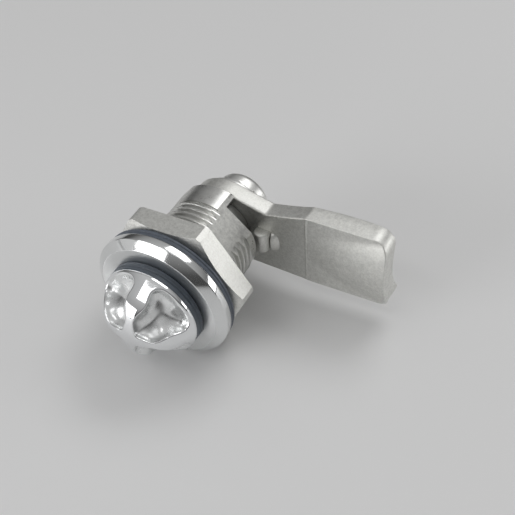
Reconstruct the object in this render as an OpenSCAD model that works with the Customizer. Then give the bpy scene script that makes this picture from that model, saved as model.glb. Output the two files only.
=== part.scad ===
// Quarter-turn wing latch for a sheet-metal door. The axis of the latch is Y: the key head faces -Y,
// the cam and its screw are at +Y, and the cam's arm points along +X, halfway through its quarter turn.
// The origin is on the axis, at the back face of the bezel, which is the face of the door.

/* [Bezel] */
// Outer diameter of the bezel
bezel_d = 32.3; // [28:0.1:38]
// Diameter of the bezel's flat front face
bezel_face_d = 28.4; // [26:0.1:30]
// Height of the bezel's straight rim
bezel_rim_h = 1.95; // [1.2:0.05:3]
// Whole height of the bezel in front of the door
bezel_h = 3.5; // [2.8:0.1:5]
// Radius of the fillet between the rim and the back face
bezel_fillet = 0.5; // [0.2:0.1:0.8]

/* [Barrel] */
// Outer diameter of the threaded barrel
barrel_d = 22; // [20:0.5:24]
// Distance across the barrel's two flats
flats_w = 19.2; // [18:0.1:20]
// Direction of the first flat, seen from the front, from +X
flats_angle = 47; // [45:1:50]
// Length of the thread behind the door face
thread_l = 15.5; // [12:0.5:18]
// Pitch of the thread's ridges
thread_pitch = 1.5; // [1:0.25:2]
// Depth of the thread's ridges
thread_depth = 0.8; // [0.5:0.05:1]
// Length of the barrel where it is cut away for the stop lug
barrel_l = 19.6; // [18.5:0.1:22]
// Diameter of the plain stretch behind the thread
collar_d = 21.3; // [20:0.1:21.5]
// Length of the full barrel, up to the cam
tail_l = 23.2; // [22.5:0.1:26]
// Chamfer at the barrel's rear end
tail_chamfer = 0.4; // [0.2:0.1:0.8]

/* [Spindle and its seat] */
// Diameter of the spindle's journal
journal_d = 14; // [12:0.5:15]
// Radial running clearance of the journal in the barrel
run_clearance = 0.05; // [0.02:0.01:0.1]
// Distance across the square that drives the cam
square_w = 8; // [7:0.5:9]
// Width of the seat that holds the thrust washer round the journal
seat_w = 1.15; // [0.9:0.05:1.4]
// Depth of the journal's bearing, from the door face
bearing_l = 15.6; // [12:0.1:16]
// Length of thread hole in the spindle
tap_l = 15; // [12:1:18]

/* [Key head] */
// Diameter of the key head at its base
head_d = 22.6; // [20:0.1:25]
// Height of the key head
head_h = 8.95; // [8:0.05:10]
// Height of the seal between bezel and key head
seal_h = 2.55; // [2:0.05:3.5]
// Number of pockets for the key's fingers
pocket_count = 4; // [3:1:4]
// Direction of the first pocket, from +X
pocket_angle = 39; // [0:1:90]

/* [Nut and gasket] */
// Distance across the nut's flats
nut_w = 30; // [27:0.5:32]
// Thickness of the nut
nut_h = 5.4; // [4:0.1:7]
// Thickness of the sheet that the latch is shown for
sheet_t = 1.1; // [0.8:0.1:3]
// Direction of one corner of the nut, from +X
nut_corner_angle = 64; // [0:1:120]
// How far the gasket's edge lies inside the bezel's rim
gasket_inset = 0.25; // [0.1:0.05:1]
// Thickness of the gasket
gasket_h = 1.6; // [1:0.1:2.5]

/* [Cam] */
// Diameter of the cam's hub
hub_d = 18.2; // [17:0.1:19]
// Width of the cam's arm
arm_w = 19.6; // [16:0.1:22]
// Distance from the axis to the bend in the arm
bend_x = 21.4; // [18:0.1:26]
// Distance from the axis to the arm's tip
tip_x = 40.5; // [36:0.1:50]
// Thickness of the arm
arm_t = 4.2; // [3:0.1:5]
// Thickness at the tip
tip_t = 4.6; // [3.5:0.1:5.5]
// How far the tip's middle stands forward of the arm
tip_forward = 1.4; // [0.5:0.1:2]
// How far the tip's edges lie behind the arm
tip_back = 0.9; // [0:0.1:1.5]
// Radius of the tip's two corners
tip_corner = 2.5; // [1:0.1:5]
// Distance from the axis to the narrow waist in the arm's upper edge
waist_x = 11.4; // [10.5:0.1:13]
// Height of that waist above the arm's middle
waist_z = 6.7; // [6:0.1:8]
// Gap between the barrel's end and the cam
cam_gap = 0.2; // [0.1:0.05:0.5]

/* [Stop lug] */
// Distance from the axis to the inner face of the lug
lug_in = 9.1; // [9:0.1:10]
// Width of the lug's main rib
lug_rib_w = 3.5; // [3:0.1:4.2]
// Height of the lug in front of the cam
lug_h = 2.8; // [2:0.1:3.2]
// Length of the lug across the arm
lug_l = 6; // [5:0.1:7.5]
// Quarter turn between the two stops
turn_angle = 90; // [60:5:90]
// Clearance left at each stop, in degrees
stop_clearance = 3.5; // [0.3:0.1:4]

/* [Screw and washers] */
// Diameter of the cam screw's shank
screw_d = 6; // [5:1:6]
// Length of the screw under its head
screw_l = 16; // [12:1:18]
// Diameter of the screw's head
screw_head_d = 12.4; // [10:0.1:14]
// Height of the screw's head
screw_head_h = 3.7; // [3:0.1:5]
// Outer diameter of the flat washer
washer_d = 16; // [14:0.5:18]
// Thickness of the flat washer
washer_h = 1.4; // [1:0.1:2]
// Outer diameter of the toothed lock washer
lock_d = 15; // [13:0.5:17]
// Height of the toothed lock washer
lock_h = 1; // [0.8:0.1:1.4]
// Number of teeth on the lock washer
lock_teeth = 12; // [8:1:16]

/* [Hidden] */
$fn = 64;
bore_d = journal_d + 2 * run_clearance;
recess_d = bore_d + 2 * seat_w;
gasket_d = bezel_d - 2 * gasket_inset;
head_base_y = -(bezel_h + run_clearance + seal_h);
nut_y = gasket_h + sheet_t;
cam_y = tail_l + cam_gap;
cam_back_y = cam_y + arm_t;
lock_y = cam_back_y + washer_h;
screw_y = lock_y + lock_h;
slip = 0.05;
through = 1;
fine = 32;

// Turns a revolved or extruded shape so that its own Z runs along +Y
module along_y(y = 0) {
    translate([0, y, 0]) rotate([-90, 0, 0]) children();
}

// Extrudes an outline drawn in X and Z from y to y + h
module plate(y, h) {
    translate([0, y + h, 0]) rotate([90, 0, 0]) linear_extrude(h) children();
}

module ring(outer, inner, h) {
    difference() {
        cylinder(d = outer, h = h);
        translate([0, 0, -through]) cylinder(d = inner, h = h + 2 * through);
    }
}

// Housing: bezel, threaded barrel with two flats, and the tail that stops the cam's lug

// Half of the angle that the tail leaves free for the lug
lug_half_angle = atan2(lug_l / 2, lug_in);
free_half_angle = turn_angle / 2 + lug_half_angle + stop_clearance;

module bezel_profile() {
    r = bezel_d / 2;
    difference() {
        polygon([[0, 0], [r, 0], [r, -bezel_rim_h], [bezel_face_d / 2, -bezel_h], [0, -bezel_h]]);
        translate([r - bezel_fillet, -bezel_fillet]) difference() {
            square(2 * bezel_fillet);
            circle(r = bezel_fillet);
        }
    }
}

// The barrel's outline: ring-shaped ridges for the thread, then the plain collar
ridge_count = floor(thread_l / thread_pitch);
ridge_root_r = barrel_d / 2 - thread_depth;
function ridge(k) = [[ridge_root_r, (k - 0.5) * thread_pitch], [barrel_d / 2, k * thread_pitch]];

module barrel_profile() {
    r = collar_d / 2;
    polygon(concat([[0, -through / 2], [barrel_d / 2, -through / 2], [barrel_d / 2, 0]],
                   [for (k = [1:ridge_count]) each ridge(k)],
                   [[ridge_root_r, thread_l], [r, thread_l], [r, tail_l - tail_chamfer],
                    [r - tail_chamfer, tail_l], [0, tail_l]]));
}

module free_sector() {
    x = barrel_d * cos(free_half_angle);
    z = barrel_d * sin(free_half_angle);
    polygon([[0, 0], [x, -z], [barrel_d, -z], [barrel_d, z], [x, z]]);
}

module housing() {
    color([0.76, 0.76, 0.74]) difference() {
        union() {
            along_y() rotate_extrude() bezel_profile();
            intersection() {
                along_y() rotate_extrude() barrel_profile();
                plate(-through, tail_l + 2 * through) rotate(flats_angle)
                    square([flats_w, 2 * barrel_d], center = true);
            }
        }
        along_y(-bezel_h - through) cylinder(d = bore_d, h = bezel_h + tail_l + 2 * through);
        along_y(bearing_l) cylinder(d = recess_d, h = tail_l);
        plate(barrel_l, tail_l) free_sector();
    }
}

// Gasket under the bezel, with a moulded groove round its edge
gasket_groove_r = 0.25;

module panel_gasket() {
    color([0.27, 0.30, 0.35]) along_y() difference() {
        ring(gasket_d, barrel_d + 2 * slip, gasket_h);
        translate([0, 0, gasket_h / 2]) rotate_extrude() translate([gasket_d / 2, 0])
            circle(r = gasket_groove_r, $fn = fine);
    }
}

// Nut: a hexagon with blunted corners, chamfered towards the door
nut_blunting = 0.35;
nut_face_margin = 0.4;
nut_bevel_angle = 26;

module hex_nut() {
    blunt_r = nut_w / sqrt(3) - nut_blunting;
    face_r = nut_w / 2 - nut_face_margin;
    chamfer_h = (blunt_r - face_r) * tan(nut_bevel_angle);
    color([0.80, 0.80, 0.78]) along_y(nut_y) difference() {
        intersection() {
            rotate(-nut_corner_angle) cylinder(d = nut_w * 2 / sqrt(3), h = nut_h, $fn = 6);
            rotate_extrude() polygon([[0, 0], [face_r, 0], [blunt_r, chamfer_h], [blunt_r, nut_h], [0, nut_h]]);
        }
        translate([0, 0, -through]) cylinder(d = barrel_d + 2 * slip, h = nut_h + 2 * through);
    }
}

// Spindle: key head, journal, driving square and the screw's thread hole
head_r = head_d / 2;
head_tip_y = head_base_y - head_h;
o_ring_d = 1.6;
o_ring_y = 2;
o_ring_r = bore_d / 2 - slip - o_ring_d / 2;
ring_groove_depth = 0.5;
ring_groove_r = journal_d / 2 - ring_groove_depth;
thrust_h = 0.8;
ring_h = 1;
ring_y = bearing_l + thrust_h + slip;
clamp_gap = 0.3;
square_l = arm_t - clamp_gap;
thread_slip = 0.02;

// The head's dome, from its base to its tip, as shares of its radius and height
DOME = [[1, 0], [1, 0.073], [0.973, 0.14], [0.876, 0.369], [0.761, 0.615], [0.619, 0.793], [0.442, 0.916],
        [0.221, 0.986], [0, 1]];

module head_solid() {
    rotate_extrude() polygon(concat([[0, 0]], [for (q = DOME) [q.x * head_r, q.y * head_h]]));
}

// A pocket is sunk along the dome's normal at this place, and its outline has two lobes at the rear and one
// at the front. Its floor is made of balls, one for each lobe.
pocket_tilt = 31;
pocket_at = [0.823 * head_r, 0.492 * head_h];
rear_lobe_r = 2.5;
rear_lobe_at = [-1.0, 2.95];
rear_edge = -3.45;
front_lobe_r = 3.75;
front_lobe_at = 3.3;
waist_half = 3.7;
rear_ball_r = 4.3;
rear_ball_at = [-0.2, 1.8, 0.7];
front_ball_r = 3.6;
front_ball_at = [4, 0, -0.6];

module pocket_outline() {
    translate([front_lobe_at, 0]) circle(r = front_lobe_r);
    for (side = [-1, 1]) translate([rear_lobe_at.x, side * rear_lobe_at.y]) circle(r = rear_lobe_r);
    polygon([[rear_edge, -rear_lobe_at.y], [rear_edge, rear_lobe_at.y], [front_lobe_at, waist_half],
             [front_lobe_at, -waist_half]]);
}

module ball(at, r) {
    translate(at) sphere(r = r);
}

module pocket() {
    translate([pocket_at.x, 0, pocket_at.y]) rotate([0, 90 - pocket_tilt, 0]) rotate(180) intersection() {
        translate([0, 0, -head_h]) linear_extrude(2 * head_h) pocket_outline();
        union() {
            for (side = [-1, 1]) ball([rear_ball_at.x, side * rear_ball_at.y, rear_ball_at.z], rear_ball_r);
            ball(front_ball_at, front_ball_r);
        }
    }
}

module driver_spindle() {
    color([0.86, 0.87, 0.88]) difference() {
        union() {
            along_y(head_base_y) mirror([0, 0, 1]) difference() {
                head_solid();
                for (k = [0:pocket_count - 1]) rotate(pocket_angle + k * 360 / pocket_count) pocket();
            }
            along_y(head_base_y - through) cylinder(d = journal_d, h = cam_y - head_base_y + through);
            translate([-square_w / 2, cam_y - through, -square_w / 2])
                cube([square_w, square_l + through, square_w]);
        }
        along_y(o_ring_y) ring(journal_d + through, 2 * (o_ring_r - o_ring_d / 2), o_ring_d + 2 * slip);
        along_y(ring_y) ring(journal_d + through, 2 * ring_groove_r, ring_h);
        along_y(cam_y + square_l - tap_l) cylinder(d = screw_d + 2 * thread_slip, h = tap_l + through);
    }
}

// Seal between key head and bezel, with a moulded groove nearer the bezel
seal_groove_r = 0.3;
seal_groove_at = 0.62 * seal_h;

module head_seal() {
    color([0.20, 0.22, 0.26]) along_y(head_base_y) difference() {
        ring(head_d, journal_d, seal_h);
        translate([0, 0, seal_groove_at]) rotate_extrude() translate([head_r, 0])
            circle(r = seal_groove_r, $fn = fine);
    }
}

module shaft_o_ring() {
    color([0.12, 0.12, 0.13]) along_y(o_ring_y + slip + o_ring_d / 2)
        rotate_extrude() translate([o_ring_r, 0]) circle(d = o_ring_d, $fn = fine);
}

// Rings in the recess lie this far inside its wall
recess_gap = 0.1;

module thrust_washer() {
    color([0.85, 0.82, 0.70]) along_y(bearing_l) ring(recess_d - 2 * recess_gap, bore_d, thrust_h);
}

// Retaining ring: a C-shaped ring in the journal's groove
ring_opening = 5;

module retaining_ring() {
    color([0.45, 0.46, 0.48]) along_y(ring_y) difference() {
        ring(recess_d - 2 * recess_gap, 2 * ring_groove_r, ring_h);
        translate([-ring_opening / 2, 0, -through]) cube([ring_opening, recess_d, ring_h + 2 * through]);
    }
}

// Cam: hub, arm with a waisted upper edge, and a blade that is arched towards its tip
arm_half = arm_w / 2;
hub_r = hub_d / 2;
relief_r = 120;
smooth = 120;
waist_a = atan2(waist_z, waist_x) + acos(hub_r / norm([waist_x, waist_z]));

// The hub's lower half is wider, so that it runs smoothly into the arm's lower edge
module hub_outline() {
    lower_x = arm_half - hub_r;
    circle(r = hub_r);
    intersection() {
        translate([lower_x, 0]) circle(r = arm_half);
        translate([-arm_w, -arm_w]) square([2 * arm_w, arm_w]);
    }
    translate([lower_x, -arm_half]) square([waist_x, arm_half]);
    polygon([[0, 0], [hub_r * cos(waist_a), hub_r * sin(waist_a)], [waist_x, waist_z], [waist_x, 0]]);
}

module cam_outline() {
    chord = norm([bend_x - waist_x, arm_half - waist_z]);
    tilt = atan2(arm_half - waist_z, bend_x - waist_x);
    difference() {
        union() {
            hub_outline();
            translate([waist_x, -arm_half]) square([tip_x - tip_corner - waist_x, arm_w]);
            translate([waist_x, -arm_half + tip_corner]) square([tip_x - waist_x, arm_w - 2 * tip_corner]);
            for (side = [-1, 1]) translate([tip_x - tip_corner, side * (arm_half - tip_corner)])
                circle(r = tip_corner);
        }
        intersection() {
            translate([waist_x, waist_z]) rotate(tilt)
                translate([chord / 2, sqrt(relief_r ^ 2 - chord ^ 2 / 4)])
                    circle(r = relief_r, $fn = smooth);
            translate([waist_x, 0]) square(arm_w);
        }
    }
}

// The blade beyond the bend leans back, and a shallow ridge rises from the bend towards the tip's middle
blade_l = tip_x - bend_x;
lean = atan(tip_back / blade_l);
rise = atan(tip_forward / blade_l);
ridge_r = (arm_half ^ 2) / (2 * (tip_forward + tip_back));

// A block from the bend outwards, between two distances behind the leaning front plane
module leaning_block(front, back) {
    translate([bend_x, cam_y, 0]) rotate([0, 0, lean]) translate([0, front, -arm_w])
        cube([2 * blade_l, back - front, 2 * arm_w]);
}

// A cylinder whose foremost line runs from the bend to the tip's middle, behind it by depth
module ridge_cylinder(depth) {
    translate([bend_x, cam_y, 0]) rotate([0, 0, -rise]) translate([-blade_l, ridge_r, 0]) rotate([0, 90, 0])
        cylinder(r = ridge_r - depth, h = 4 * blade_l, $fn = smooth);
}

front_room = 3;

module blade() {
    difference() {
        intersection() {
            plate(cam_y - front_room, arm_t + 2 * front_room) cam_outline();
            union() {
                leaning_block(0, arm_t);
                intersection() {
                    leaning_block(-front_room, arm_t - slip);
                    ridge_cylinder(0);
                }
            }
        }
        ridge_cylinder(tip_t);
    }
}

module flat_arm() {
    intersection() {
        plate(cam_y, arm_t) cam_outline();
        translate([-arm_w, 0, -arm_w]) cube([arm_w + bend_x + slip, 2 * tail_l, 2 * arm_w]);
    }
}

// Stop lug: a rib with a rounded front, and a lower toe beside it
rib_r = lug_rib_w / 2;
toe_w = 1.5;
toe_h = 0.55 * lug_h;
root = 1;

module stop_lug() {
    translate([lug_in + rib_r, cam_y, 0]) linear_extrude(lug_l, center = true) {
        translate([0, rib_r - lug_h]) circle(r = rib_r);
        translate([-rib_r, rib_r - lug_h]) square([lug_rib_w, lug_h - rib_r + root]);
        translate([rib_r + toe_w / 2, toe_w / 2 - toe_h]) circle(d = toe_w);
        translate([rib_r, toe_w / 2 - toe_h]) square([toe_w, toe_h - toe_w / 2 + root]);
    }
}

module cam() {
    hole_w = square_w + 2 * slip;
    color([0.74, 0.74, 0.72]) difference() {
        union() {
            flat_arm();
            blade();
            stop_lug();
        }
        translate([-hole_w / 2, cam_y - through, -hole_w / 2]) cube([hole_w, arm_t + 2 * through, hole_w]);
    }
}

// Screw and washers that hold the cam on the spindle's square
washer_bore_d = screw_d + 0.4;
tooth_l = 2;
tooth_w = 0.14 * lock_d;
tooth_root = 0.4;

module flat_washer() {
    color([0.78, 0.78, 0.76]) along_y(cam_back_y) ring(washer_d, washer_bore_d, washer_h);
}

module tooth_lock_washer() {
    root_d = lock_d - 2 * tooth_l;
    color([0.70, 0.70, 0.70]) along_y(lock_y) {
        ring(root_d, washer_bore_d, lock_h);
        for (k = [0:lock_teeth - 1]) rotate(k * 360 / lock_teeth)
            translate([-tooth_w / 2, root_d / 2 - tooth_root, 0])
                cube([tooth_w, tooth_l + tooth_root, lock_h]);
    }
}

// Pan head with a hexagon socket
screw_edge_r = 1.6;
socket_w = 4;
socket_l = 2.4;

module cam_screw() {
    r = screw_head_d / 2;
    color([0.80, 0.80, 0.78]) along_y(screw_y) difference() {
        union() {
            rotate_extrude() {
                translate([r - screw_edge_r, screw_head_h - screw_edge_r]) intersection() {
                    circle(r = screw_edge_r);
                    square(2 * screw_edge_r);
                }
                square([r - screw_edge_r, screw_head_h]);
                square([r, screw_head_h - screw_edge_r]);
            }
            translate([0, 0, -screw_l]) cylinder(d = screw_d, h = screw_l + through);
        }
        translate([0, 0, screw_head_h - socket_l])
            cylinder(d = socket_w * 2 / sqrt(3), h = socket_l + through, $fn = 6);
    }
}

housing();
panel_gasket();
hex_nut();
driver_spindle();
head_seal();
shaft_o_ring();
thrust_washer();
retaining_ring();
cam();
flat_washer();
tooth_lock_washer();
cam_screw();
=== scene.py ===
import math

import bmesh
import bpy
import numpy as np
from mathutils import Matrix, Vector, geometry


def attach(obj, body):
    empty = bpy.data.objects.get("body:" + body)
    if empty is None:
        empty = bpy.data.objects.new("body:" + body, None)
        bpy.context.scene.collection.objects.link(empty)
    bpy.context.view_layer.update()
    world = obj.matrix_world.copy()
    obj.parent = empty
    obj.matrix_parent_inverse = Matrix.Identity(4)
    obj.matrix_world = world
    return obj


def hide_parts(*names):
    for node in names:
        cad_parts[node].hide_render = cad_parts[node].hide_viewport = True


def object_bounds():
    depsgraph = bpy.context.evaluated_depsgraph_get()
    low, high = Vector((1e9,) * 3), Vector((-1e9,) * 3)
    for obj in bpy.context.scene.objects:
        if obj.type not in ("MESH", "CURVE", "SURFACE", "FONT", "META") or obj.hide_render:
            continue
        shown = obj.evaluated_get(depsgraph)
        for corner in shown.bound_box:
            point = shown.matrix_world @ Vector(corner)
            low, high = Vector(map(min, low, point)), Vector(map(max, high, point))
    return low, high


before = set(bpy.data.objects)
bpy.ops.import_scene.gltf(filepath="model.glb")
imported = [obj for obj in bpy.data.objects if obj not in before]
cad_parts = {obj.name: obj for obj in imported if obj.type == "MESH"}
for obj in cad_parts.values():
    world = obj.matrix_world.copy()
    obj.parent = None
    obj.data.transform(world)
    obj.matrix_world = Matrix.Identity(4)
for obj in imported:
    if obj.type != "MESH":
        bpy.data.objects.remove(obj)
cad_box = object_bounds()

# Sizes in millimetres and angles in degrees. The places of floor, lamps and camera are in metres

MM = 0.001

# Bezel and the bore through the housing

BEZEL_R = 16.14
BEZEL_FACE_R = 14.2
BEZEL_RIM = 1.95
BEZEL_H = 3.5
BORE_R = 7.05

# Barrel: its thread, its flats as (angle, distance), and its tail, whose free sector suits the solids' lug

BARREL_R = 11.0
BARREL_START = -0.4
THREAD_END = 17.1
PITCH = 1.5
THREAD_DEPTH = 0.85
THREAD_FLANK = 2.9
THREAD_ROOT = 0.3
HIDDEN_END = 7.2
FLAT_ROUND = 0.05
FLATS = ((47.0, 9.6), (227.0, 9.6), (142.0, 10.35))
GROOVE_R = 10.3
COLLAR_R = 10.65
COLLAR_CHAMFER = 0.35
RECESS_R = 8.2
BEARING_Y = 15.6
LEDGE_Y = 19.6
TAIL_Y = 23.2
HALF_TURN = 45.0
SECTOR_SPARE = 3.5
SOLID_LUG_IN = 9.1
SOLID_LUG_HALF = 3.0
FREE_HALF = round(HALF_TURN + math.degrees(math.atan2(SOLID_LUG_HALF, SOLID_LUG_IN)) + SECTOR_SPARE, 2)

# Gasket, nut and head seal

FIT = 0.05
GASKET_R = 15.9
GASKET_H = 1.6
NUT_W = 30.0
NUT_Y = 2.4
NUT_H = 5.2
NUT_CORNER_ANGLE = 64.0
NUT_CHAMFER_ANGLE = 26.0
NUT_CORNER_CUT = 0.35
NUT_FACE_CUT = 0.4
NUT_LEAD = 0.7
SEAL_H = 2.55

# Key head and spindle. The journal's grooves are (start, end, radius of the bottom)

JOURNAL_R = 7.0
JOURNAL_GROOVES = ((2.0, 3.7, 6.1), (16.45, 17.45, 6.5))
HEAD_R = 11.3
HEAD_BASE_Y = -6.1
POCKETS = 4
POCKET_ANGLE = 39.0
POCKET_DEPTH = 3.5
POCKET_WALL = 1.05
POCKET_ROUND = 0.22
PIT_DEPTH = 0.5
PIT_FORWARD = 0.35

# Cam: arm with a faint round mark, blade, hub, and the lug with its toe

CAM_Y = 23.4
CAM_BACK = 27.6
ARM_HALF = 9.8
MARK_X = 17.2
MARK_Z = 0.3
MARK_R = 1.7
BEND_X = 21.4
BEND_LEAN = 0.03
TIP_X = 40.5
TIP_CORNER = 2.5
TOP_CORNER = 3.6
TIP_FORWARD = 1.4
TIP_BACK = 0.9
TIP_T = 4.6
BACK_BULGE = 0.5
BACK_CORNER = 0.75
BLADE_L = TIP_X - BEND_X
RIDGE_R = ARM_HALF ** 2 / (2 * (TIP_FORWARD + TIP_BACK))
HUB_R = 9.1
WAIST_X = 11.4
WAIST_Z = 6.7
RELIEF_R = 120.0
SQUARE_HALF = 4.05
LUG_IN = 8.9
LUG_W = 3.5
LUG_H = 2.8
LUG_L = 5.8
LUG_SHORT = 0.5
LUG_SLOPE = 0.12
TOE_W = 2.0
TOE_H = 0.4 * LUG_H
TOE_HALF = 2.6
TOE_Z = -1.1
TOE_SECTION = ((0, 0.5), (0, -0.75), (0.12, -1), (0.3, -0.92), (0.6, -0.45), (1, 0.05), (1, 0.5))

# Washers and screw

WASHER_R = 8.0
WASHER_BORE_R = 3.2
LOCK_Y = 29.0
LOCK_RING_R = 5.4
TEETH = 12
TOOTH_L = 2.0
TOOTH_TWIST = 1.3
SCREW_Y = 30.0
SCREW_TOP = 33.7
SCREW_R = 6.2
SHANK_R = 3.0
SHANK_END = 14.0
SOCKET_W = 4.0
SOCKET_H = 2.4


# Mesh helpers

def on(body, slot, *replaces):
    """The body that a piece rides on, its slot and the nodes that it stands for."""
    return {"body": body, "slot": slot, "replaces": replaces}


HOUSING = on("housing_body", "polished_housing", "housing")
GASKET = on("housing_body", "seal_rubber", "panel_gasket")
NUT = on("housing_body", "nut_steel", "hex_nut")
SPINDLE = on("rotor", "chrome_head", "driver_spindle")
SEAL = on("rotor", "seal_rubber", "head_seal")
CAM = on("rotor", "cast_cam", "cam")
WASHER = on("rotor", "zinc_steel", "flat_washer")
LOCK_WASHER = on("rotor", "zinc_steel", "tooth_lock_washer")
SCREW = on("rotor", "zinc_steel", "cam_screw")


def piece(name, verts, faces, material, body, slot, replaces, sharp=32, bevel=0):
    """A smooth-shaded mesh whose edges stay sharp where they turn by more than the angle sharp."""
    mesh = bpy.data.meshes.new(name)
    points = [tuple(v * MM for v in p) for p in verts]
    mesh.from_pydata(points, [], [tuple(int(i) for i in f) for f in faces])
    bm = bmesh.new()
    bm.from_mesh(mesh)
    bmesh.ops.remove_doubles(bm, verts=bm.verts, dist=2e-6)
    bmesh.ops.dissolve_degenerate(bm, edges=bm.edges, dist=1e-6)
    bmesh.ops.recalc_face_normals(bm, faces=bm.faces)
    if bevel:
        bmesh.ops.bevel(bm, geom=turning_edges(bm, sharp), offset=bevel * MM, offset_type="OFFSET",
                        segments=2, profile=0.5, affect="EDGES", clamp_overlap=True)
    for f in bm.faces:
        f.smooth = True
    for e in turning_edges(bm, sharp):
        e.smooth = False
    bm.to_mesh(mesh)
    bm.free()
    obj = bpy.data.objects.new(name, mesh)
    bpy.context.scene.collection.objects.link(obj)
    mesh.materials.append(material)
    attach(obj, body)
    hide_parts(*replaces)
    return obj


def turning_edges(bm, sharp):
    """The edges where the surface turns by more than the angle sharp."""
    limit = math.radians(sharp)
    return [e for e in bm.edges if len(e.link_faces) == 2 and e.calc_face_angle() > limit]


def second_material(obj, material, chosen):
    """Gives the material to the faces whose centre, in millimetres, passes the test chosen(x, y, z)."""
    obj.data.materials.append(material)
    for f in obj.data.polygons:
        if chosen(*(f.center / MM)):
            f.material_index = 1


def rounded(points, radii, steps=4):
    """The closed outline with each corner filleted by its own radius."""
    out = []
    n = len(points)
    for i, (p, r) in enumerate(zip(points, radii)):
        p, a, b = (np.array(q, float) for q in (p, points[i - 1], points[(i + 1) % n]))
        if r <= 0:
            out.append(p)
            continue
        da = (a - p) / np.linalg.norm(a - p)
        db = (b - p) / np.linalg.norm(b - p)
        half = math.acos(float(np.clip(da @ db, -1, 1))) / 2
        back = r / math.tan(half)
        centre = p + (da + db) / np.linalg.norm(da + db) * r / math.sin(half)
        start = p + da * back - centre
        end = p + db * back - centre
        w = math.acos(float(np.clip(start @ end / r / r, -1, 1)))
        for k in range(steps + 1):
            t = k / steps
            out.append(centre + (math.sin((1 - t) * w) * start + math.sin(t * w) * end) / math.sin(w))
    return np.array(out)


def catmull(points, steps, closed=False):
    """A smooth curve through the points."""
    p = np.array(points, float)
    n = len(p)
    out = []
    for i in range(n if closed else n - 1):
        a, b, c, d = (p[(i + k) % n] if closed else p[min(max(i + k, 0), n - 1)] for k in (-1, 0, 1, 2))
        for s in range(steps):
            t = s / steps
            out.append(0.5 * (2 * b + (c - a) * t + (2 * a - 5 * b + 4 * c - d) * t * t
                              + (3 * b - a - 3 * c + d) * t ** 3))
    if not closed:
        out.append(p[-1])
    return np.array(out)


def resample(p, step):
    """Evenly spaced points on a closed outline."""
    q = np.vstack([p, p[:1]])
    s = np.concatenate([[0], np.cumsum(np.hypot(*np.diff(q, axis=0).T))])
    t = np.linspace(0, s[-1], int(s[-1] / step), endpoint=False)
    return np.stack([np.interp(t, s, q[:, 0]), np.interp(t, s, q[:, 1])], 1)


def inside_distance(a, b, outline):
    """Signed distance to the closed outline, positive inside."""
    p = np.stack([a, b], -1)[:, None]
    q = outline[None]
    e = (np.roll(outline, -1, 0) - outline)[None]
    w = p - q
    k = np.clip((w * e).sum(-1) / (e * e).sum(-1), 0, 1)
    d = np.sqrt((((w - e * k[..., None])) ** 2).sum(-1)).min(1)
    rise = np.where(e[..., 1] == 0, 1e-9, e[..., 1])
    cross = ((q + e)[..., 1] > p[..., 1]) != (q[..., 1] > p[..., 1])
    cross &= p[..., 0] < e[..., 0] * (p[..., 1] - q[..., 1]) / rise + q[..., 0]
    return np.where(cross.sum(1) % 2 == 1, d, -d)


def smooth_min(a, b, k):
    h = np.clip(0.5 + 0.5 * (b - a) / k, 0, 1)
    return b * (1 - h) + a * h - k * h * (1 - h)


def hump(distance, width):
    return np.exp(-(distance / width) ** 2)


def groove(r, y, half, depth):
    """Three points of a V groove in a rim of radius r."""
    return [(r, y - half), (r - depth, y), (r, y + half)]


def spread(points, count):
    """The radii and the y values of (r, y) points as two arrays with count rows."""
    one = np.ones(count)
    return np.stack([r * one for r, _ in points], 1), np.stack([y * one for _, y in points], 1)


def loops(name, theta, R, Y, *args, **kw):
    """A ring-shaped closed mesh: row i is the section at theta[i], column j one point of that section."""
    n, m = R.shape
    ang = np.radians(theta)[:, None]
    verts = np.stack([R * np.cos(ang), Y, R * np.sin(ang)], -1).reshape(-1, 3)
    i, j = np.meshgrid(np.arange(n), np.arange(m), indexing="ij")
    i2 = (i + 1) % n
    j2 = (j + 1) % m
    faces = np.stack([i * m + j, i2 * m + j, i2 * m + j2, i * m + j2], -1).reshape(-1, 4)
    return piece(name, verts, faces, *args, **kw)


def lathe(name, profile, *args, count=120, **kw):
    """Revolves a closed (r, y) outline about Y. Points on the axis close the mesh there."""
    theta = np.linspace(0, 360, count, endpoint=False)
    return loops(name, theta, *spread(profile, count), *args, **kw)


# Material helpers

def nodes_for(name):
    m = bpy.data.materials.new(name)
    m.use_nodes = True
    t = m.node_tree
    return m, t, t.nodes["Principled BSDF"]


def add(t, kind, **inputs):
    """Adds a node. A name that starts with _ sets an attribute, any other name an input."""
    n = t.nodes.new(kind)
    for k, v in inputs.items():
        if k.startswith("_"):
            setattr(n, k[1:], v)
        else:
            n.inputs[k].default_value = v
    return n


def coordinates(t):
    return add(t, "ShaderNodeTexCoord").outputs["Object"]


def noise(t, vec, scale, detail):
    n = add(t, "ShaderNodeTexNoise", Scale=scale, Detail=detail, Roughness=0.55)
    t.links.new(vec, n.inputs["Vector"])
    return n.outputs["Fac"]


def ramp(t, fac, stops):
    n = t.nodes.new("ShaderNodeValToRGB")
    e = n.color_ramp.elements
    while len(e) < len(stops):
        e.new(0.5)
    for item, (at, c) in zip(e, stops):
        item.position = at
        item.color = (*c, 1) if isinstance(c, tuple) else (c, c, c, 1)
    t.links.new(fac, n.inputs["Fac"])
    return n.outputs["Color"]


def bump(t, height, distance, strength, normal=None):
    n = add(t, "ShaderNodeBump", Strength=strength, Distance=distance)
    t.links.new(height, n.inputs["Height"])
    if normal is not None:
        t.links.new(normal, n.inputs["Normal"])
    return n.outputs["Normal"]


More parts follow.
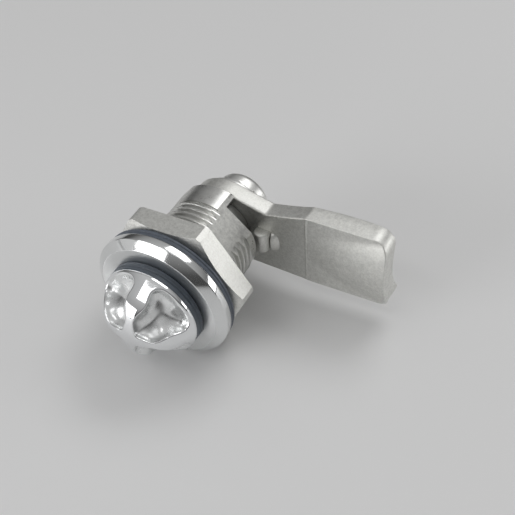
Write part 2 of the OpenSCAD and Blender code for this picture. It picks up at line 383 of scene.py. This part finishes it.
def metal(name, dark, light, rough, patch, grain=2400, grain_depth=4e-6, grain_strength=0.15, share=0.35,
          broad=None):
    """Metal with cloudy patches of colour and roughness and a fine grain in its surface.

    share is the grain's part in the patches. broad gives scale, depth and strength of slow waves."""
    m, t, b = nodes_for(name)
    vec = coordinates(t)
    cloud = noise(t, vec, patch, 5)
    fine = noise(t, vec, grain, 2)
    part = add(t, "ShaderNodeMath", _operation="MULTIPLY")
    t.links.new(cloud, part.inputs[0])
    part.inputs[1].default_value = 1 - share
    mixed = add(t, "ShaderNodeMath", _operation="MULTIPLY_ADD")
    t.links.new(fine, mixed.inputs[0])
    mixed.inputs[1].default_value = share
    t.links.new(part.outputs[0], mixed.inputs[2])
    t.links.new(ramp(t, mixed.outputs[0], [(0.36, dark), (0.64, light)]), b.inputs["Base Color"])
    t.links.new(ramp(t, mixed.outputs[0], [(0.3, rough[0]), (0.7, rough[1])]), b.inputs["Roughness"])
    b.inputs["Metallic"].default_value = 1.0
    n = bump(t, fine, grain_depth, grain_strength)
    if broad:
        scale, depth, strength = broad
        n = bump(t, noise(t, vec, scale, 4), depth, strength, n)
    t.links.new(n, b.inputs["Normal"])
    return m


def rubber(name, base, sheen):
    """Matt rubber or plastic with faint spots."""
    m, t, b = nodes_for(name)
    vec = coordinates(t)
    spots = noise(t, vec, 900, 4)
    light = tuple(min(1, c * 1.5) for c in base)
    t.links.new(ramp(t, spots, [(0.35, base), (0.8, light)]), b.inputs["Base Color"])
    t.links.new(ramp(t, spots, [(0.3, 0.36), (0.8, 0.55)]), b.inputs["Roughness"])
    b.inputs["Specular IOR Level"].default_value = sheen
    t.links.new(bump(t, noise(t, vec, 3500, 2), 1.5e-5, 0.3), b.inputs["Normal"])
    return m


def polished(name, colour, ripple):
    """Mirror metal with a faint haze in its colour and a slow ripple in its surface."""
    m, t, b = nodes_for(name)
    vec = coordinates(t)
    haze = noise(t, vec, 420, 4)
    dim = tuple(c * 0.96 for c in colour)
    t.links.new(ramp(t, haze, [(0.3, dim), (0.8, colour)]), b.inputs["Base Color"])
    b.inputs["Metallic"].default_value = 1.0
    t.links.new(bump(t, noise(t, vec, 260, 2), ripple, 0.5), b.inputs["Normal"])
    return m, t, b, vec, haze


def chrome(name, colour, rough, ripple):
    m, t, b, _, haze = polished(name, colour, ripple)
    t.links.new(ramp(t, haze, [(0.35, rough), (0.85, rough * 1.9)]), b.inputs["Roughness"])
    return m


def turned(name, colour, rough, ripple, face_y):
    """Polished metal whose flat front face keeps the fine rings of the lathe."""
    m, t, b, vec, _ = polished(name, colour, ripple)
    sep = add(t, "ShaderNodeSeparateXYZ")
    t.links.new(vec, sep.inputs[0])
    face = add(t, "ShaderNodeMath", _operation="LESS_THAN")
    face.inputs[1].default_value = (face_y + 0.03) * MM
    t.links.new(sep.outputs["Y"], face.inputs[0])
    t.links.new(ramp(t, face.outputs[0], [(0.0, rough), (1.0, 0.42)]), b.inputs["Roughness"])
    t.links.new(ramp(t, face.outputs[0], [(0.0, 0.0), (1.0, 0.75)]), b.inputs["Anisotropic"])
    tangent = add(t, "ShaderNodeTangent", _direction_type="RADIAL", _axis="Y")
    t.links.new(tangent.outputs[0], b.inputs["Tangent"])
    return m


# Materials

CAST = {"grain": 2600, "grain_depth": 4e-5, "grain_strength": 0.5, "share": 0.5}
DARK = {"patch": 180, "grain": 2600, "grain_depth": 3e-5, "grain_strength": 0.35}

bezel_metal = turned("polished_bezel", (0.80, 0.81, 0.81), 0.10, 4e-6, -BEZEL_H)
head_chrome = chrome("chrome_head", (0.88, 0.89, 0.90), 0.06, 3e-6)
pocket_chrome = chrome("pocket_chrome", (0.84, 0.85, 0.85), 0.22, 6e-6)
blasted = metal("sand_blasted_barrel", (0.54, 0.54, 0.52), (0.76, 0.76, 0.73), (0.40, 0.55), patch=900,
                grain_depth=4e-5, grain_strength=0.5, broad=(500, 6e-5, 0.3))
machined = metal("machined_barrel", (0.58, 0.58, 0.56), (0.72, 0.72, 0.70), (0.26, 0.32), patch=500)
nut_metal = metal("tumbled_nut", (0.66, 0.66, 0.63), (0.84, 0.84, 0.81), (0.38, 0.52), patch=1200, **CAST)
cam_metal = metal("cast_cam", (0.66, 0.66, 0.63), (0.84, 0.84, 0.81), (0.42, 0.54), patch=900,
                  broad=(300, 5e-5, 0.25), **CAST)
zinc = metal("bright_zinc", (0.74, 0.74, 0.72), (0.82, 0.82, 0.80), (0.34, 0.40), patch=600)
# The journal's steel is coloured dark as painted shade, for the shadowed notch through which it is seen
shade_darkened_steel = metal("shade_darkened_steel", (0.30, 0.30, 0.29), (0.40, 0.40, 0.39), (0.45, 0.6), **DARK)
# The retaining ring's steel is nearly black as painted shade, for the dark recess in which it sits
spring_steel = metal("spring_steel", (0.10, 0.10, 0.11), (0.18, 0.18, 0.19), (0.4, 0.5), **DARK)
seal_rubber = rubber("seal_rubber", (0.065, 0.08, 0.10), 0.6)
gasket_rubber = rubber("gasket_rubber", (0.085, 0.10, 0.125), 0.55)
bearing_plastic = rubber("bearing_plastic", (0.55, 0.52, 0.42), 0.4)


# Housing: bezel

def build_bezel():
    profile = rounded(
        [(BORE_R, -BEZEL_H), (BEZEL_FACE_R, -BEZEL_H), (BEZEL_R, -BEZEL_RIM), (BEZEL_R, 0),
         (BARREL_R - 1, 0), (BORE_R, 0)],
        [0.15, 0.45, 0.35, 0.5, 0, 0])
    lathe("bezel", profile, bezel_metal, count=240, **HOUSING)


# Housing: threaded barrel with its flats, and the tail

def flat_limit(theta):
    """Radius at which the flats cut the barrel, or a far one where there is no flat."""
    far = 99.0
    least = 0.2
    out = np.full(np.shape(theta), far)
    for centre, distance in FLATS:
        c = np.cos(np.radians(theta - centre))
        out = np.minimum(out, np.where(c > least, distance / np.maximum(c, least), far))
    return out


def on_flat(x, y, z):
    """Whether a face lies on one of the flats."""
    return math.hypot(x, z) > flat_limit(math.degrees(math.atan2(z, x))) - FLAT_ROUND


def thread_radius(theta, y):
    """Radius of a helical ridge with a soft crest."""
    phase = (y / PITCH - theta / 360) % 1
    ridge = np.clip((0.5 - np.abs(phase - 0.5)) * THREAD_FLANK - THREAD_ROOT, 0, 1)
    ridge = ridge * ridge * (3 - 2 * ridge)
    return BARREL_R - THREAD_DEPTH * (1 - ridge)


def barrel_columns():
    """Angles round the barrel and the y of its rear end at each.

    They are closer together where the flats cut the ridges. At each end of the free sector two of them
    are the same and make its upright wall."""
    fine = []
    for centre, distance in FLATS:
        for r in np.linspace(max(BARREL_R - THREAD_DEPTH, distance + 0.02), BARREL_R, 5):
            near = math.degrees(math.acos(distance / r)) * np.linspace(0.97, 1.03, 5)
            fine += [centre - near, centre + near]
    fine = (np.concatenate(fine) + 180) % 360 - 180
    whole = np.linspace(-180, 180, 361)
    theta = np.unique(np.round(np.concatenate([whole, fine, [-FREE_HALF, FREE_HALF]]), 2))
    columns = []
    for a in theta[:-1]:
        if abs(abs(a) - FREE_HALF) < 1e-3:
            tops = (TAIL_Y, LEDGE_Y) if a < 0 else (LEDGE_Y, TAIL_Y)
        else:
            tops = (LEDGE_Y,) if abs(a) < FREE_HALF else (TAIL_Y,)
        columns += [(a, top) for top in tops]
    return np.array(columns).T


def barrel_rows():
    """The y values of the threaded stretch, far apart as long as the nut hides it."""
    hidden = np.arange(BARREL_START, HIDDEN_END, 0.4)
    shown = np.arange(HIDDEN_END, THREAD_END, 0.075)
    return np.concatenate([hidden, shown, [THREAD_END]])


def build_barrel():
    ang, top = barrel_columns()
    T, Y = np.meshgrid(ang, barrel_rows(), indexing="ij")
    cut = np.where(top > LEDGE_Y, COLLAR_CHAMFER, 0.0)
    groove_start = THREAD_END + 0.06
    groove_end = THREAD_END + 0.26
    collar_start = THREAD_END + 0.34
    tail_r, tail_y = spread(
        [(GROOVE_R, groove_start), (GROOVE_R, groove_end), (COLLAR_R, collar_start), (COLLAR_R, LEDGE_Y),
         (COLLAR_R, top - cut), (COLLAR_R - cut, top)], len(ang))
    inner_r, inner_y = spread(
        [(RECESS_R, top), (RECESS_R, LEDGE_Y), (RECESS_R, BEARING_Y), (BORE_R, BEARING_Y),
         (BORE_R, BARREL_START)], len(ang))
    R = smooth_min(np.hstack([thread_radius(T, Y), tail_r]), flat_limit(ang)[:, None], FLAT_ROUND)
    barrel = loops("threaded_barrel", ang, np.hstack([R, inner_r]), np.hstack([Y, tail_y, inner_y]),
                   machined, sharp=40, **HOUSING)
    second_material(barrel, blasted, on_flat)


# Gasket, seal and the hidden rings

def build_gasket():
    profile = rounded(
        [(BARREL_R + FIT, 0), (GASKET_R - 0.1, 0), *groove(GASKET_R, 0.8, 0.25, 0.3),
         (GASKET_R - 0.1, GASKET_H), (BARREL_R + FIT, GASKET_H)],
        [0.1, 0.1, 0.12, 0.12, 0.12, 0.25, 0.1])
    lathe("panel_gasket_ring", profile, gasket_rubber, count=200, **GASKET)


def build_seal():
    y = HEAD_BASE_Y
    profile = rounded(
        [(JOURNAL_R, y), (HEAD_R - FIT, y), *groove(HEAD_R, y + 1.15, 0.25, 0.28), (HEAD_R, y + 2.3),
         (HEAD_R - 0.3, y + SEAL_H), (JOURNAL_R, y + SEAL_H)],
        [0.1, 0.2, 0.12, 0.12, 0.12, 0.15, 0.1, 0.1])
    lathe("head_seal_ring", profile, seal_rubber, count=200, **SEAL)


def dress_hidden_rings():
    """The rings and the washer inside keep the solids' own shape."""
    # The retaining ring's near-black colour is painted shade for the recess
    looks = {"shaft_o_ring": seal_rubber, "thrust_washer": bearing_plastic, "retaining_ring": spring_steel}
    for node, material in looks.items():
        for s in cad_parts[node].material_slots:
            s.material = material


# Nut: a hexagon with narrow flat strips for corners, whose front face is chamfered by a cone

def nut_angles(facet):
    """Whole degrees and, at each corner, the middle and both ends of its strip."""
    strip = (facet - 30, 0, 30 - facet)
    corners = [[(NUT_CORNER_ANGLE + 60 * k + d) % 360 for d in strip] for k in range(6)]
    return np.unique(np.round(np.concatenate([np.linspace(0, 360, 361), *corners]), 3))[:-1]


def build_nut():
    corner_r = NUT_W / math.sqrt(3) - NUT_CORNER_CUT
    slope = math.tan(math.radians(NUT_CHAMFER_ANGLE))
    facet = math.degrees(math.acos(NUT_W / 2 / corner_r))
    theta = nut_angles(facet)
    off = (theta - NUT_CORNER_ANGLE) % 60 - 30
    gap = np.minimum(np.abs(off + 30), np.abs(off - 30))
    strip = corner_r * math.cos(math.radians(30 - facet)) / np.cos(np.radians(gap))
    hex_r = np.where(gap < 30 - facet + 1e-3, strip, NUT_W / 2 / np.cos(np.radians(off)))
    face_r = NUT_W / 2 - NUT_FACE_CUT
    bore = BARREL_R + FIT
    lead_r = bore + 0.8
    rear = NUT_Y + NUT_H
    section = [(bore, NUT_Y + NUT_LEAD), (lead_r, NUT_Y), (face_r, NUT_Y),
               (np.minimum(face_r + 0.5, hex_r), NUT_Y + 0.5 * slope),
               (hex_r, NUT_Y + (hex_r - face_r) * slope), (hex_r, NUT_Y + NUT_H / 2), (hex_r, rear),
               (lead_r, rear), (bore, rear - NUT_LEAD)]
    loops("nut", theta, *spread(section, len(theta)), nut_metal, sharp=17, bevel=0.12, **NUT)


# Key head: a dome with four pockets

DOME = np.vstack([[(HEAD_R, HEAD_BASE_Y)], catmull(
    [(11.3, -6.75), (11.0, -7.35), (9.9, -9.4), (8.6, -11.6), (7.0, -13.2), (5.0, -14.3), (2.5, -14.92),
     (0, -15.05)], 24)])

# A pocket's middle, and the way it faces, as parts along the radius and along Y

POCKET_R = 9.3
POCKET_Y = -10.5
FACING_R = 0.86
FACING_Y = -0.51

# The pocket's rim as (y, half the width there), and its ridges as (angle, height). A groove is below zero

HALF_WIDTHS = ((-7.12, 2.2), (-7.25, 4.1), (-7.75, 5.1), (-8.7, 5.5), (-9.7, 5.15), (-10.7, 4.6),
               (-11.8, 4.1), (-12.6, 3.95), (-13.4, 3.75), (-14.2, 3.1), (-14.65, 1.9))
INNER_RIDGES = ((-90, 0.25), (38, 0.32), (142, 0.32), (90, -0.2), (-35, -0.18), (-145, -0.18))


def along_pocket(radial, y):
    """Place along the pocket, from its middle towards the tip of the dome."""
    return FACING_Y * (radial - POCKET_R) - FACING_R * (y - POCKET_Y)


def dome_radius(y):
    return np.interp(-y, -DOME[:, 1], DOME[:, 0])


def pocket_outline():
    """The pocket's rim, from its half width at each y of the dome."""
    side = []
    for y, half in HALF_WIDTHS:
        radial = math.sqrt(max(dome_radius(y) ** 2 - half ** 2, 1.0))
        side.append((half, along_pocket(radial, y)))
    rear = (0, side[0][1] - 0.05)
    front = (0, side[-1][1] + 0.75)
    return catmull([rear] + side + [front] + [(-a, b) for a, b in side[::-1]], 6, closed=True)


def soften(f, times):
    """Blurs a field over the dome's grid, which closes round the axis."""
    for _ in range(times):
        f = (np.roll(f, 1, 0) + 2 * f + np.roll(f, -1, 0)) / 4
        f[:, 1:-1] = (f[:, :-2] + 2 * f[:, 1:-1] + f[:, 2:]) / 4
    return f


def pocket_depth(a, b, d):
    """Depth at the place (a, b), where d is the distance from the rim: steep walls, a pit and low ridges."""
    t = np.sqrt(np.maximum(d, 0) ** 2 + POCKET_ROUND ** 2) - POCKET_ROUND
    depth = POCKET_DEPTH * (1 - np.exp(-t / POCKET_WALL))
    b = b - PIT_FORWARD
    rho = np.hypot(a, b)
    depth += PIT_DEPTH * np.exp(-rho ** 2 / 1.8)
    window = np.clip(t / 0.9, 0, 1) * np.clip(rho / 1.1, 0, 1)
    for angle, height in INNER_RIDGES:
        ux = math.cos(math.radians(angle))
        uy = math.sin(math.radians(angle))
        along = a * ux + b * uy
        across = -a * uy + b * ux
        depth -= height * window * np.exp(-across ** 2 / 0.9) * np.clip(along / 1.2, 0, 1)
    depth = np.where(d > 0, np.maximum(depth, 0), 0)
    deep = np.clip((t - 0.4) / 1.0, 0, 1)
    return soften(depth, 8) * (1 - deep) + soften(depth, 70) * deep


def in_pocket(x, y, z):
    """Whether a face lies below the dome."""
    return y < -6.7 and math.hypot(x, z) < dome_radius(y) - 0.3


def build_key_head():
    arc = np.concatenate([[0], np.cumsum(np.hypot(*np.diff(DOME, axis=0).T))])
    s = np.linspace(0, arc[-1], 130)
    dome_r = np.interp(s, arc, DOME[:, 0])
    dome_y = np.interp(s, arc, DOME[:, 1])
    dome_r[0] = HEAD_R - FIT
    theta = np.linspace(0, 360, 560, endpoint=False)
    T, R = np.meshgrid(np.radians(theta), dome_r[:-1], indexing="ij")
    points = np.stack([R * np.cos(T), np.tile(dome_y[:-1], (len(theta), 1)), R * np.sin(T)], -1)
    outline = pocket_outline()
    moved = points.copy()
    for k in range(POCKETS):
        phi = math.radians(POCKET_ANGLE + 360 / POCKETS * k)
        radial = points[..., 0] * math.cos(phi) + points[..., 2] * math.sin(phi)
        a = -points[..., 0] * math.sin(phi) + points[..., 2] * math.cos(phi)
        b = along_pocket(radial, points[..., 1])
        near = (radial > 0.5) & (np.abs(a) < 6.5)
        d = np.full(a.shape, -1.0)
        d[near] = inside_distance(a[near], b[near], outline)
        facing = np.array([FACING_R * math.cos(phi), FACING_Y, FACING_R * math.sin(phi)])
        moved -= pocket_depth(a, b, d)[..., None] * facing
    n, m = T.shape
    tip = n * m
    verts = np.vstack([moved.reshape(-1, 3), [(0, dome_y[-1], 0), (0, HEAD_BASE_Y, 0)]])
    starts = [(i * m, (i + 1) % n * m) for i in range(n)]
    faces = [(a + j, b + j, b + j + 1, a + j + 1) for a, b in starts for j in range(m - 1)]
    faces += [(a + m - 1, b + m - 1, tip) for a, b in starts]
    faces += [(a, b, tip + 1) for a, b in starts]
    head = piece("key_head", verts, faces, head_chrome, sharp=60, **SPINDLE)
    second_material(head, pocket_chrome, in_pocket)


def build_journal():
    """The spindle, with one groove for the O-ring and one for the retaining ring."""
    front = HEAD_BASE_Y + 0.02
    profile = [(0, front), (JOURNAL_R, front)]
    for start, end, bottom in JOURNAL_GROOVES:
        profile += [(JOURNAL_R, start), (bottom, start), (bottom, end), (JOURNAL_R, end)]
    profile += [(JOURNAL_R, CAM_Y), (0, CAM_Y)]
    # The journal's dark colour is painted shade for the notch
    lathe("spindle_journal", rounded(profile, [0] * 10 + [0.3, 0]), shade_darkened_steel, **SPINDLE)


# Cam

def arc_points(x, z, r, start, end, count):
    return [(x + r * math.cos(a), z + r * math.sin(a)) for a in np.radians(np.linspace(start, end, count))]


def cam_outline():
    """Hub, lower edge, tip with its two corners, and the waist in the upper edge."""
    waist_a = math.atan2(WAIST_Z, WAIST_X) + math.acos(HUB_R / math.hypot(WAIST_X, WAIST_Z))
    hub_end = np.array((HUB_R * math.cos(waist_a), HUB_R * math.sin(waist_a)))
    pts = [(HUB_R * math.cos(a), HUB_R * math.sin(a)) for a in np.arange(waist_a, math.pi, math.radians(3))]
    pts += arc_points(ARM_HALF - HUB_R, 0, ARM_HALF, 180, 270, 30)
    pts += arc_points(TIP_X - TIP_CORNER, TIP_CORNER - ARM_HALF, TIP_CORNER, -90, 0, 13)
    pts += arc_points(TIP_X - TOP_CORNER, ARM_HALF - TOP_CORNER, TOP_CORNER, 0, 90, 13)
    pts.append((BEND_X, ARM_HALF))
    chord = math.hypot(BEND_X - WAIST_X, ARM_HALF - WAIST_Z)
    tilt = math.atan2(ARM_HALF - WAIST_Z, BEND_X - WAIST_X)
    lift = math.sqrt(RELIEF_R ** 2 - chord ** 2 / 4)
    for u in np.linspace(chord, 0, 24):
        v = lift - math.sqrt(RELIEF_R ** 2 - (u - chord / 2) ** 2)
        pts.append((WAIST_X + u * math.cos(tilt) - v * math.sin(tilt),
                    WAIST_Z + u * math.sin(tilt) + v * math.cos(tilt)))
    pts += [tuple(np.array((WAIST_X, WAIST_Z)) * (1 - u) + hub_end * u) for u in np.linspace(0.1, 0.9, 8)]
    return resample(np.array(pts), 0.4)


def past_bend(x, z):
    return x - BEND_X - BEND_LEAN * z


def cam_front(x, z):
    """The front face: the flat arm with its mark, a bead at the bend, and the arched, leaning blade."""
    u = np.maximum(past_bend(x, z), 0)
    lean = CAM_Y + u * TIP_BACK / BLADE_L
    ridge = CAM_Y - u * TIP_FORWARD / BLADE_L + RIDGE_R - np.sqrt(RIDGE_R ** 2 - z ** 2)
    y = np.where(u > 0, smooth_min(lean, ridge, 0.25), CAM_Y)
    mark = np.hypot(x - MARK_X, z - MARK_Z) - MARK_R
    bead = past_bend(x, z) + 0.3
    return y + 0.06 * hump(mark, 0.16) - 0.07 * hump(bead, 0.2)


def cam_back(x, z):
    """The back face: hollow behind the blade, with a bulge above and a corner that stands out below."""
    u = np.maximum(past_bend(x, z), 0)
    share = np.clip(u / BLADE_L, 0, 1)
    bulge = BACK_BULGE * np.sin(math.pi * share) * np.clip(z / ARM_HALF, 0, 1) ** 2
    lean = CAM_BACK + u * TIP_BACK / BLADE_L + bulge
    r = RIDGE_R - TIP_T
    hollow = (CAM_Y + TIP_T - u * TIP_FORWARD / BLADE_L + r
              - np.sqrt(r ** 2 - np.minimum(z ** 2, r * r * 0.98)))
    return smooth_min(lean, hollow, 0.2) + BACK_CORNER * share * np.clip((-z - 1.5) / 6, 0, 1)


def plate_grid(outline, hole, margin):
    """Inner points of the plate, closer together along the bend."""
    lo = outline.min(0)
    hi = outline.max(0)
    xs = np.arange(lo[0] + 0.3, hi[0], 0.55)
    zs = np.arange(lo[1] + 0.3, hi[1], 0.55)
    gx, gz = np.meshgrid(xs, zs, indexing="ij")
    away = np.abs(past_bend(gx, gz)) >= 0.95
    at_bend = [-0.85, -0.65, -0.5, -0.4, -0.3, -0.2, -0.1, 0, 0.12, 0.3, 0.6, 0.9]
    bx, bz = np.meshgrid(at_bend, zs, indexing="ij")
    g = np.vstack([np.stack([gx[away], gz[away]], 1),
                   np.stack([(bx + BEND_X + BEND_LEAN * bz).ravel(), bz.ravel()], 1)])
    g = g[inside_distance(g[:, 0], g[:, 1], outline) > margin]
    return g[inside_distance(g[:, 0], g[:, 1], hole) < -0.25]


def outline_rings(outline, offsets):
    """Copies of the outline, moved inwards by each offset."""
    tang = np.roll(outline, -1, 0) - np.roll(outline, 1, 0)
    tang /= np.linalg.norm(tang, axis=1)[:, None]
    normal = np.stack([-tang[:, 1], tang[:, 0]], 1)
    if inside_distance(*(outline[:1] + normal[:1] * 0.1).T, outline)[0] < 0:
        normal = -normal
    return [outline + normal * d for d in offsets]


def closed_edges(base, count):
    return [(base + i, base + (i + 1) % count) for i in range(count)]


def plate(name, outline, hole, front, back, hub_edge, blade_edge, *args, **kw):
    """A plate in X and Z with rounded edges. front and back give y for arrays of x and z.

    hub_edge is the radius of the edges at the hub, and blade_edge the one past the bend."""
    rings = outline_rings(outline, hub_edge * np.array([0, 0.06, 0.16, 0.3, 0.5, 0.75, 1.0]))
    points = np.vstack(rings + [hole, plate_grid(outline, hole, hub_edge + 0.25)])
    n = len(outline)
    inner = n * (len(rings) - 1)
    edges = closed_edges(0, n) + closed_edges(inner, n) + closed_edges(inner + n, len(hole))
    made = geometry.delaunay_2d_cdt([Vector(p) for p in points], edges, [], 0, 1e-6)
    triangles = np.array([tuple(t) for t in made[2]])
    x, z = np.array([tuple(p) for p in made[0]]).T
    middle_x = x[triangles].mean(1)
    middle_z = z[triangles].mean(1)
    in_plate = inside_distance(middle_x, middle_z, outline) > 0
    triangles = triangles[in_plate & (inside_distance(middle_x, middle_z, hole) < 0)]
    inset = np.maximum(inside_distance(x, z, outline), 0)
    inset[inset < 2e-4] = 0
    r = hub_edge + (blade_edge - hub_edge) * np.clip((x - BEND_X + 2) / 3, 0, 1)
    drop = np.where(inset < r, r - np.sqrt(np.maximum(r ** 2 - (r - inset) ** 2, 0)), 0)
    verts = np.vstack([np.stack([x, front(x, z) + drop, z], 1), np.stack([x, back(x, z) - drop, z], 1)])
    n = len(x)
    sides = [(int(t[i]), int(t[(i + 1) % 3])) for t in triangles for i in range(3)]
    paired = set(sides)
    faces = [tuple(t) for t in triangles]
    faces += [tuple(n + i for i in t[::-1]) for t in triangles]
    faces += [(b, a, n + a, n + b) for a, b in sides if (b, a) not in paired]
    return piece(name, verts, faces, *args, **kw)


def build_cam_arm():
    h = SQUARE_HALF
    hole = resample(np.array([(-h, -h), (h, -h), (h, h), (-h, h)]), 0.5)
    hub_edge = 0.45
    blade_edge = 0.2
    plate("cam_arm", cam_outline(), hole, cam_front, cam_back, hub_edge, blade_edge, cam_metal, sharp=38,
          **CAM)


def build_stop_lug():
    """A bar along Z with a round front, whose upper end slopes down towards the arm."""
    rib = LUG_W / 2
    front = CAM_Y - LUG_H
    profile = arc_points(LUG_IN + rib, front + rib, rib, 0, -180, 17)
    profile += [(LUG_IN, CAM_Y + 0.5), (LUG_IN + LUG_W, CAM_Y + 0.5)]
    n = len(profile)
    top = LUG_L / 2 - LUG_SHORT
    verts = [(x, y, -LUG_L / 2) for x, y in profile]
    verts += [(x, y, top - LUG_SLOPE * (y - front)) for x, y in profile]
    faces = [tuple(range(n)), tuple(range(2 * n - 1, n - 1, -1))]
    faces += [(i, (i + 1) % n, n + (i + 1) % n, n + i) for i in range(n)]
    piece("stop_lug", verts, faces, cam_metal, bevel=0.3, sharp=50, **CAM)


def build_lug_toe():
    """A low wedge beside the lug that swells towards its middle."""
    stations = 15
    start_x = LUG_IN + LUG_W + 0.1
    verts = []
    for q in np.linspace(-1, 1, stations):
        swell = math.sqrt(max(1 - q * q, 0.01))
        for x, y in TOE_SECTION:
            drop = y * TOE_H * swell if y < 0.5 else 0.5
            reach = x * TOE_W * (0.35 + 0.65 * swell)
            verts.append((start_x + reach, CAM_Y + drop, TOE_Z + q * TOE_HALF))
    n = len(TOE_SECTION)
    faces = [tuple(range(n)), tuple(range(len(verts) - 1, len(verts) - 1 - n, -1))]
    for k in range(stations - 1):
        faces += [(k * n + i, k * n + (i + 1) % n, k * n + n + (i + 1) % n, k * n + n + i) for i in range(n)]
    piece("lug_toe", verts, faces, cam_metal, sharp=50, **CAM)


# Washers and screw

def build_flat_washer():
    profile = rounded(
        [(WASHER_BORE_R, CAM_BACK), (WASHER_R, CAM_BACK), (WASHER_R, LOCK_Y), (WASHER_BORE_R, LOCK_Y)],
        [0, 0.15, 0.25, 0.1])
    lathe("flat_washer_disc", profile, zinc, **WASHER)


def build_lock_washer():
    """A thin ring with twisted teeth round its rim."""
    theta = np.linspace(0, 360, 360, endpoint=False)
    wave = (theta / (360 / TEETH)) % 1
    tooth = np.clip((0.26 - np.abs(wave - 0.5)) / 0.05, 0, 1)
    lift = np.clip((wave - 0.5) * TOOTH_TWIST, -0.28, 0.28) * tooth
    rim = LOCK_RING_R + 0.1 + TOOTH_L * tooth
    mid = (LOCK_Y + SCREW_Y) / 2
    front = LOCK_Y + 0.1
    rear = SCREW_Y - 0.05
    section = [(WASHER_BORE_R, front), (LOCK_RING_R, front), (rim, mid - 0.22 + lift),
               (rim, mid + 0.22 + lift), (LOCK_RING_R, rear), (WASHER_BORE_R, rear)]
    loops("lock_washer_disc", theta, *spread(section, len(theta)), zinc, sharp=30, **LOCK_WASHER)


def build_cam_screw():
    """A screw with a domed head and a hexagon socket."""
    body = rounded(
        [(2.4, SCREW_TOP), (SCREW_R, SCREW_TOP), (SCREW_R, SCREW_Y), (SHANK_R, SCREW_Y),
         (SHANK_R, SHANK_END + 0.3), (SHANK_R - 0.4, SHANK_END), (0, SHANK_END)],
        [0, 1.6, 0.25, 0.1, 0, 0, 0], 6)
    theta = np.linspace(0, 360, 180, endpoint=False)
    hexagon = SOCKET_W / 2 / np.cos(np.radians((theta + 30) % 60 - 30))
    floor_y = SCREW_TOP - SOCKET_H
    socket = [(hexagon + 0.12, SCREW_TOP), (hexagon, SCREW_TOP - 0.15), (hexagon, floor_y),
              (0, floor_y - 0.01)]
    loops("cam_screw_body", theta, *spread(list(body[::-1]) + socket, len(theta)), zinc, **SCREW)


# Floor, lamps and world

FLOOR_GAP = 0.00002
FLOOR_HALF = 3.0
LAMP_DISTANCE = 0.60


def build_floor():
    z = cad_box[0][2] - FLOOR_GAP
    h = FLOOR_HALF
    mesh = bpy.data.meshes.new("floor")
    mesh.from_pydata([(-h, -h, z), (h, -h, z), (h, h, z), (-h, h, z)], [], [(0, 1, 2, 3)])
    floor = bpy.data.objects.new("floor", mesh)
    bpy.context.scene.collection.objects.link(floor)
    material, t, b = nodes_for("pale_floor")
    t.links.new(ramp(t, noise(t, coordinates(t), 3, 2), [(0.3, 0.80), (0.7, 0.83)]), b.inputs["Base Color"])
    b.inputs["Roughness"].default_value = 0.5
    mesh.materials.append(material)


def lamp(name, azimuth, elevation, width, height, radiance):
    """A soft panel that faces the latch. Azimuth runs from the front, -Y, towards +X."""
    az = math.radians(azimuth)
    el = math.radians(elevation)
    at = Vector((math.sin(az) * math.cos(el), -math.cos(az) * math.cos(el), math.sin(el))) * LAMP_DISTANCE
    data = bpy.data.lights.new(name, "AREA")
    data.shape = "RECTANGLE"
    data.size = width
    data.size_y = height
    data.energy = radiance * math.pi * width * height
    obj = bpy.data.objects.new(name, data)
    obj.location = at
    obj.rotation_euler = (-at).to_track_quat("-Z", "Y").to_euler()
    bpy.context.scene.collection.objects.link(obj)


def build_lamps():
    lamp("overhead_rear", 166, 55, 0.34, 0.22, 2.7)
    lamp("low_right", 124, 9, 0.34, 0.16, 3.0)
    lamp("front_left", -30, 22, 0.36, 0.20, 3.4)
    lamp("front_top", -9, 62.5, 0.28, 0.075, 2.8)
    lamp("front_low", -29, 6, 0.36, 0.10, 3.4)
    lamp("side_left", -67, 9, 0.42, 0.18, 0.55)


def build_world():
    """A sky that is dark at the horizon and light overhead."""
    world = bpy.data.worlds.new("studio")
    bpy.context.scene.world = world
    world.use_nodes = True
    t = world.node_tree
    background = t.nodes["Background"]
    background.inputs["Strength"].default_value = 1.0
    sep = add(t, "ShaderNodeSeparateXYZ")
    t.links.new(add(t, "ShaderNodeTexCoord").outputs["Generated"], sep.inputs[0])
    height = add(t, "ShaderNodeMapRange")
    height.inputs["From Min"].default_value = -1
    t.links.new(sep.outputs["Z"], height.inputs["Value"])
    sky = ramp(t, height.outputs[0], [(0.5, 0.06), (0.60, 0.08), (0.75, 0.30), (0.95, 0.50)])
    t.links.new(sky, background.inputs["Color"])


# Camera, where the photo was taken from

CAMERA_LENS = 86.51
CAMERA_SENSOR = 36
CAMERA_AT = (0.116703, -0.136754, 0.195893)
CAMERA_RIGHT = (0.865014, 0.496859, -0.069869)
CAMERA_UP = (-0.320948, 0.65496, 0.68412)
CAMERA_BACK = (0.385673, -0.569349, 0.726015)


def build_camera():
    data = bpy.data.cameras.new("camera")
    data.sensor_width = CAMERA_SENSOR
    data.lens = CAMERA_LENS
    data.clip_start = 0.01
    camera = bpy.data.objects.new("camera", data)
    columns = (CAMERA_RIGHT, CAMERA_UP, CAMERA_BACK, CAMERA_AT)
    camera.matrix_world = Matrix([[c[i] for c in columns] for i in range(3)] + [(0, 0, 0, 1)])
    bpy.context.scene.collection.objects.link(camera)
    bpy.context.scene.camera = camera


build_bezel()
build_barrel()
build_gasket()
build_seal()
dress_hidden_rings()
build_nut()
build_key_head()
build_journal()
build_cam_arm()
build_stop_lug()
build_lug_toe()
build_flat_washer()
build_lock_washer()
build_cam_screw()
build_floor()
build_lamps()
build_world()
build_camera()

scene = bpy.context.scene
scene.view_settings.view_transform = "Standard"
